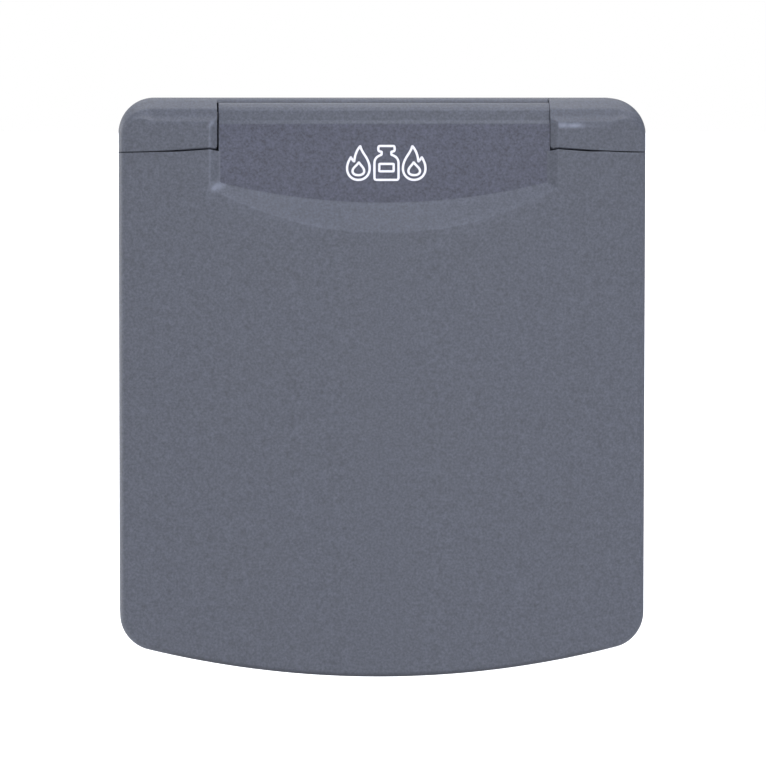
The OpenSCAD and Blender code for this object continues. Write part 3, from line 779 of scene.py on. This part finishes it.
# --------------------------------------------------------------------------
# wire springs
# --------------------------------------------------------------------------
def wire(name, path, r, n=14):
    """Round wire along a path, its frames carried along without twist, its ends softened."""
    p = [Vector(q) for q in path]
    rings, u = [], None
    for k in range(len(p)):
        t = (p[min(k + 1, len(p) - 1)] - p[max(k - 1, 0)]).normalized()
        u = (Vector((0.3, 0.2, 0.93)) if u is None else u)
        u = (u - t * u.dot(t)).normalized()
        v = t.cross(u)
        spread = [(r * 0.6, -0.12), (r * 0.9, -0.05), (r, 0.0)] if k == 0 else [(r, 0.0), (r * 0.9, 0.05), (r * 0.6, 0.12)] if k == len(p) - 1 else [(r, 0.0)]
        for q, d in spread:
            rings.append([p[k] + t * d * (r / 0.28) + (u * math.cos(2 * math.pi * i / n) + v * math.sin(2 * math.pi * i / n)) * q for i in range(n)])
    return smooth(rings_solid(name, rings), 60)


def smooth_path(pts, r=0.6, n=6):
    out = [Vector(pts[0])]
    for a, b, c in zip(pts, pts[1:], pts[2:]):
        a, b, c = Vector(a), Vector(b), Vector(c)
        p0, p2 = b + (a - b) * min(r / (a - b).length, 0.48), b + (c - b) * min(r / (c - b).length, 0.48)
        out += [p0 * (1 - i / n) ** 2 + b * 2 * (i / n) * (1 - i / n) + p2 * (i / n) ** 2 for i in range(n + 1)]
    return out + [Vector(pts[-1])]


def make_lid_spring():
    """Torsion spring on the right pin: a leg on the frame's ledge, eight turns, an end in the cheek."""
    turns, m = 8, 30
    coil = []
    for i in range(turns * m + 1):
        a = 2 * math.pi * i / m
        coil.append(Vector((27.3 + 8.0 * i / (turns * m), -HY + 1.85 * math.cos(a), HZ + 1.85 * math.sin(a))))
    leg = smooth_path([(27.2, -HY + 10.8, HZ - 4.1), (27.2, -HY + 3.6, HZ - 4.1), (27.2, -HY + 2.6, HZ - 3.3), (27.25, -HY + 1.95, HZ - 1.6), coil[2]], 0.9, 6)
    end = smooth_path([coil[-2], (35.5, -HY + 1.82, HZ + 0.4), (36.1, -HY + 1.76, HZ + 0.68), (38.2, -HY + 1.76, HZ + 0.7)], 0.35, 5)
    return wire("closing_spring", leg[:-1] + coil[2:-2] + end, 0.28)


def make_poppet_spring():
    """Five turns, the first and last wound close."""
    m, pts = 30, []
    for i in range(5 * m + 1):
        t = i / (5 * m)
        a = 10 * math.pi * t
        w = ease((t - 0.1) / 0.8) * 0.86 + t * 0.14
        pts.append((2.6 * math.cos(a), 20.3 + 5.4 * w, PIPE_Z + 2.6 * math.sin(a)))
    return wire("return_spring", pts, 0.25)


closing_spring = make_lid_spring()
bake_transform(closing_spring)
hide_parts("lid_spring")
return_spring = make_poppet_spring()
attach(return_spring, "case")
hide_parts("poppet_spring")
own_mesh(return_spring)

lid = make_lid()
frame_shell = make_frame()
painted_light(lid)
painted_light(frame_shell)
marks = make_marks()
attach(marks, "flap")
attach(lid, "flap")
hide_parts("lid")
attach(frame_shell, "case")
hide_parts("base_frame")


# --------------------------------------------------------------------------
# materials
# --------------------------------------------------------------------------
def srgb(r, g, b):
    return tuple((c / 255 / 12.92) if c / 255 <= 0.04045 else ((c / 255 + 0.055) / 1.055) ** 2.4 for c in (r, g, b)) + (1.0,)


class Mat:
    """A small wrapper that builds a Principled material node by node."""

    def __init__(self, name):
        self.mat = bpy.data.materials.new(name)
        self.mat.use_nodes = True
        self.nt = self.mat.node_tree
        self.bsdf = self.nt.nodes["Principled BSDF"]
        self.co = self.nt.nodes.new("ShaderNodeTexCoord").outputs["Object"]

    def new(self, kind, **kw):
        n = self.nt.nodes.new(kind)
        for k, v in kw.items():
            setattr(n, k, v)
        return n

    def link(self, a, b):
        self.nt.links.new(a, b)

    def stretched(self, sx, sy, sz):
        m = self.new("ShaderNodeMapping")
        self.link(self.co, m.inputs["Vector"])
        m.inputs["Scale"].default_value = (sx, sy, sz)
        return m.outputs["Vector"]

    def noise(self, scale, detail=2.0, rough=0.5, co=None):
        n = self.new("ShaderNodeTexNoise")
        self.link(co or self.co, n.inputs["Vector"])
        n.inputs["Scale"].default_value = scale
        n.inputs["Detail"].default_value = detail
        n.inputs["Roughness"].default_value = rough
        return n.outputs["Fac"]

    def voronoi(self, scale, feature="F1", co=None):
        n = self.new("ShaderNodeTexVoronoi", feature=feature)
        self.link(co or self.co, n.inputs["Vector"])
        n.inputs["Scale"].default_value = scale
        return n.outputs["Distance"]

    def ramp(self, fac, stops):
        n = self.new("ShaderNodeValToRGB")
        self.link(fac, n.inputs["Fac"])
        el = n.color_ramp.elements
        while len(el) < len(stops):
            el.new(0.5)
        for e, (p, c) in zip(el, stops):
            e.position = p
            e.color = c if hasattr(c, "__len__") else (c, c, c, 1.0)
        return n.outputs["Color"]

    def mix(self, fac, a, b, blend="MIX"):
        n = self.new("ShaderNodeMix", data_type="RGBA", blend_type=blend)
        for sock, v in ((n.inputs[0], fac), (n.inputs[6], a), (n.inputs[7], b)):
            if isinstance(v, bpy.types.NodeSocket):
                self.link(v, sock)
            else:
                sock.default_value = v
        return n.outputs[2]

    def math(self, op, a, b):
        n = self.new("ShaderNodeMath", operation=op)
        for sock, v in ((n.inputs[0], a), (n.inputs[1], b)):
            if isinstance(v, bpy.types.NodeSocket):
                self.link(v, sock)
            else:
                sock.default_value = v
        return n.outputs[0]

    def rng(self, fac, lo, hi, a=0.0, b=1.0):
        n = self.new("ShaderNodeMapRange")
        self.link(fac, n.inputs["Value"])
        n.inputs["From Min"].default_value, n.inputs["From Max"].default_value = a, b
        n.inputs["To Min"].default_value, n.inputs["To Max"].default_value = lo, hi
        return n.outputs["Result"]

    def bump(self, height, strength, dist, under=None):
        n = self.new("ShaderNodeBump")
        n.inputs["Strength"].default_value = strength
        n.inputs["Distance"].default_value = dist
        self.link(height, n.inputs["Height"])
        if under is not None:
            self.link(under, n.inputs["Normal"])
        return n.outputs["Normal"]

    def done(self, color=None, rough=None, normal=None, **sockets):
        for name, v in (("Base Color", color), ("Roughness", rough), ("Normal", normal)):
            if v is None:
                continue
            if isinstance(v, bpy.types.NodeSocket):
                self.link(v, self.bsdf.inputs[name])
            else:
                self.bsdf.inputs[name].default_value = v
        for k, v in sockets.items():
            self.bsdf.inputs[k.replace("_", " ")].default_value = v
        return self.mat


def grained_plastic(name, tone, grain=1.0, rough=0.62, spec=0.4, mottle=0.022, painted_light_and_shade=False):
    """Moulded plastic with a spark-eroded grain."""
    m = Mat(name)
    fine = m.noise(1750, 2.0, 0.55)
    mid = m.noise(620, 2.0, 0.5)
    big = m.noise(42, 3.0, 0.6)
    dark = tuple(c * (1 - 0.27 * grain) for c in tone[:3]) + (1.0,)
    light = tuple(c * (1 + 0.27 * grain) for c in tone[:3]) + (1.0,)
    col = m.ramp(fine, [(0.3, dark), (0.7, light)])
    col = m.mix(1.0, col, m.ramp(mid, [(0.3, 1 - 0.07 * grain), (0.7, 1 + 0.07 * grain)]), "MULTIPLY")
    shade = m.ramp(big, [(0.35, 1 - mottle), (0.65, 1 + mottle)])
    col = m.mix(1.0, col, shade, "MULTIPLY")
    # painted light: edges lightened as painted highlights, the lower edge darkened as painted shade
    if painted_light_and_shade:
        # painted highlights: edges and ridges lightened towards a pale tone
        a = m.new("ShaderNodeAttribute", attribute_name="painted_light")
        patchy_highlight = m.math("MULTIPLY", a.outputs["Fac"], m.rng(mid, 0.65, 1.35, 0.3, 0.7))
        col = m.mix(m.math("MULTIPLY", patchy_highlight, 0.21), col, tuple(c * 2.6 for c in tone[:3]) + (1.0,))
        # painted shade: the lower edge darkened
        g = m.new("ShaderNodeAttribute", attribute_name="painted_shade")
        col = m.mix(m.math("MULTIPLY", g.outputs["Fac"], 0.62), col, tuple(c * 0.25 for c in tone[:3]) + (1.0,))
    h = m.math("ADD", m.math("MULTIPLY", m.noise(2600, 3.0, 0.6), 0.7), m.math("MULTIPLY", m.noise(1100, 1.0, 0.4), 0.6))
    n = m.bump(h, 0.55, 0.00005 * grain)
    r = m.math("ADD", m.rng(fine, rough - 0.05, rough + 0.07, 0.3, 0.7), m.rng(big, -0.03, 0.03, 0.35, 0.65))
    return m.done(col, r, n, Specular_IOR_Level=spec)


def brushed_metal(name, tone, rough, scale=(1, 1, 1), turn=0.0, tarnish=None, amount=0.3):
    m = Mat(name)
    lines = m.noise(900, 3.0, 0.6, co=m.stretched(*scale))
    blot = m.noise(120, 4.0, 0.65)
    dots = m.noise(1500, 2.0, 0.5)
    lo = tuple(c * 0.82 for c in tone[:3]) + (1.0,)
    col = m.ramp(lines, [(0.3, lo), (0.7, tone)])
    if tarnish:
        col = m.mix(m.rng(blot, 0.0, amount, 0.45, 0.72), col, tarnish)
    r = m.math("ADD", m.rng(blot, rough - 0.06, rough + 0.12, 0.3, 0.7), m.rng(lines, -0.04, 0.04, 0.3, 0.7))
    h = m.math("ADD", m.math("MULTIPLY", lines, 0.6), m.math("MULTIPLY", dots, 0.4))
    return m.done(col, r, m.bump(h, 0.25, 0.00003), Metallic=1.0)


def rubber(name, tone, scale=700, rough=0.75):
    m = Mat(name)
    a, b = m.noise(scale, 4.0, 0.6), m.noise(60, 3.0, 0.5)
    col = m.ramp(a, [(0.3, tuple(c * 0.7 for c in tone[:3]) + (1.0,)), (0.75, tuple(c * 1.35 for c in tone[:3]) + (1.0,))])
    col = m.mix(m.rng(b, 0.0, 0.35, 0.4, 0.7), col, tuple(min(c * 1.8, 1) for c in tone[:3]) + (1.0,))
    return m.done(col, m.rng(a, rough - 0.08, rough + 0.1, 0.3, 0.7), m.bump(a, 0.4, 0.00006), Specular_IOR_Level=0.3)


SLATE = srgb(66.7, 69.9, 78.9)
PANEL = tuple(c * k for c, k in zip(SLATE, (0.850, 0.832, 0.924))) + (1.0,)
M = {
    # this material carries the painted highlights and the painted shade
    "slate": grained_plastic("slate_grained", SLATE, painted_light_and_shade=True),
    "panel": grained_plastic("panel_grained", PANEL, 1.28),
    "box": grained_plastic("box_grained", srgb(70, 72, 78), 0.7, 0.5, 0.4, 0.08),
    "foam": rubber("foam_gasket", srgb(38, 38, 40), 1400, 0.9),
    "rubber": rubber("seal_rubber", srgb(30, 30, 32), 500, 0.55),
    "brass": brushed_metal("turned_brass", srgb(222, 186, 116), 0.24, (0.15, 3, 3), tarnish=srgb(164, 124, 70), amount=0.4),
    "zinc": brushed_metal("zinc_plate", srgb(168, 171, 176), 0.34, (1, 1, 1), tarnish=srgb(122, 128, 134), amount=0.7),
    "bright": brushed_metal("bright_steel", srgb(208, 209, 212), 0.2, (4, 0.3, 4), tarnish=srgb(160, 160, 164), amount=0.3),
    "dark": brushed_metal("blackened_steel", srgb(58, 58, 62), 0.42, (1, 1, 1), tarnish=srgb(40, 38, 38), amount=0.5),
    "spring": brushed_metal("spring_wire", srgb(176, 177, 180), 0.28, (1, 1, 1), tarnish=srgb(118, 116, 112), amount=0.5),
    "copper": brushed_metal("copper_olive", srgb(205, 134, 96), 0.3, (1, 3, 1), tarnish=srgb(140, 78, 52), amount=0.5),
    "ball": brushed_metal("plated_ball", srgb(225, 226, 228), 0.12, (1, 1, 1), tarnish=srgb(190, 190, 192), amount=0.3),
    "seat": grained_plastic("white_seat", srgb(232, 231, 224), 0.3, 0.45, 0.4, 0.03),
    "ink": grained_plastic("white_ink", srgb(206, 206, 214), 0.25, 0.5, 0.4, 0.02),
    "yellow": grained_plastic("yellow_sleeve", srgb(224, 178, 22), 0.35, 0.38, 0.5, 0.05),
}


def dress(ob, mat):
    if len(ob.material_slots) == 0:
        ob.data.materials.append(mat)
    for s in ob.material_slots:
        s.link = "OBJECT"
        s.material = mat
    return ob


dress(lid, M["slate"])
# the flat of the recessed panel has its own, finer and darker texture
lid.data.materials.append(M["panel"])
lid.material_slots[1].link = "OBJECT"
lid.material_slots[1].material = M["panel"]
for p in lid.data.polygons:
    if p.normal.y < -0.995 and abs(p.center.y / MM + PANEL_Y) < 0.03 and 45.0 < p.center.z / MM < 66.6:
        p.material_index = 1
dress(frame_shell, M["slate"])
dress(marks, M["ink"])
NODE_MATS = {
    "wall_gasket": "foam", "rear_box": "box", "box_screws": "zinc", "lid_seal": "rubber", "hinge_pins": "dark",
    "lid_spring": "spring", "valve_body": "brass", "front_seat": "seat", "rear_seat": "seat", "valve_ball": "ball",
    "valve_stem": "brass", "stem_seal": "rubber", "gland_nut": "brass", "lever": "zinc", "lever_sleeve": "yellow",
    "lever_nut": "zinc", "bulkhead_washer": "zinc", "bulkhead_nut": "brass", "olive": "copper", "inlet_nut": "brass",
    "socket": "brass", "socket_seal": "rubber", "poppet": "brass", "poppet_seal": "rubber", "poppet_spring": "spring",
    "spring_retainer": "bright",
}
for name, key in NODE_MATS.items():
    dress(nodes[name], M[key])
dress(closing_spring, M["spring"])
dress(return_spring, M["spring"])

# --------------------------------------------------------------------------
# camera, floor and light
# --------------------------------------------------------------------------
AZ, EL, DIST, SPAN, ROLL_DEG = -3.3, 3.9, 1.3, 0.19155, 0.05
aim = Vector((-0.21, -20.0, 1.47)) * MM
cam_data = bpy.data.cameras.new("camera")
cam = bpy.data.objects.new("camera", cam_data)
scene.collection.objects.link(cam)
a, e = math.radians(AZ), math.radians(EL)
back = Vector((math.sin(a) * math.cos(e), -math.cos(a) * math.cos(e), math.sin(e)))
cam.location = aim + back * DIST
cam.rotation_mode = "QUATERNION"
cam.rotation_quaternion = (-back).to_track_quat("-Z", "Y") @ Quaternion((0, 0, 1), math.radians(ROLL_DEG))
cam_data.sensor_width = 36.0
cam_data.lens = 36.0 * DIST / SPAN
cam_data.clip_start, cam_data.clip_end = 0.05, 30.0
scene.camera = cam

pale = Mat("pale_floor")
pale_mat = pale.done(pale.ramp(pale.noise(6, 3.0), [(0.3, 0.86), (0.7, 0.9)]), 0.7, None, Specular_IOR_Level=0.2)
fl = bpy.data.meshes.new("floor")
fz = cad_lo.z - 0.044
fl.from_pydata([(-9, -9, fz), (9, -9, fz), (9, 9, fz), (-9, 9, fz)], [], [(0, 1, 2, 3)])
floor = bpy.data.objects.new("floor", fl)
scene.collection.objects.link(floor)
dress(floor, pale_mat)


def lamp(name, towards, power, spread):
    """A very large, soft and distant studio light in the direction given from the object."""
    d = bpy.data.lights.new(name, "SUN")
    d.energy, d.angle = power, math.radians(spread)
    o = bpy.data.objects.new(name, d)
    scene.collection.objects.link(o)
    v = Vector(towards).normalized()
    o.location = v * 1.5
    o.rotation_mode = "QUATERNION"
    o.rotation_quaternion = (-v).to_track_quat("-Z", "Y")
    return o


lamp("front", (0, -1, 0.1), 1.15, 40)
lamp("key", (0.35, -0.7, 0.62), 0.7, 40)
lamp("high", (0, -0.35, 0.94), 0.8, 40).data.color = (0.93, 0.97, 1.12)
lamp("top", (0, 0.5, 0.86), 2.1, 40)
lamp("left", (-0.95, 0.3, 0.1), 4.2, 40)
lamp("accent", (0.2, -0.28, 0.87), 1.9, 14).data.color = (0.93, 0.97, 1.12)

world = bpy.data.worlds.new("world")
scene.world = world
world.use_nodes = True
wn = world.node_tree
wn.nodes.clear()
out = wn.nodes.new("ShaderNodeOutputWorld")
seen = wn.nodes.new("ShaderNodeBackground")
seen.inputs["Color"].default_value = (1, 1, 1, 1)
seen.inputs["Strength"].default_value = 1.0
light = wn.nodes.new("ShaderNodeBackground")
light.inputs["Color"].default_value = (1, 1, 1, 1)
light.inputs["Strength"].default_value = 0.36
lp = wn.nodes.new("ShaderNodeLightPath")
mx = wn.nodes.new("ShaderNodeMixShader")
wn.links.new(lp.outputs["Is Camera Ray"], mx.inputs[0])
wn.links.new(light.outputs[0], mx.inputs[1])
wn.links.new(seen.outputs[0], mx.inputs[2])
wn.links.new(mx.outputs[0], out.inputs["Surface"])
scene.view_settings.view_transform = "Standard"
scene.view_settings.look = "None"
scene.view_settings.exposure = 0.0
scene.view_settings.gamma = 1.0
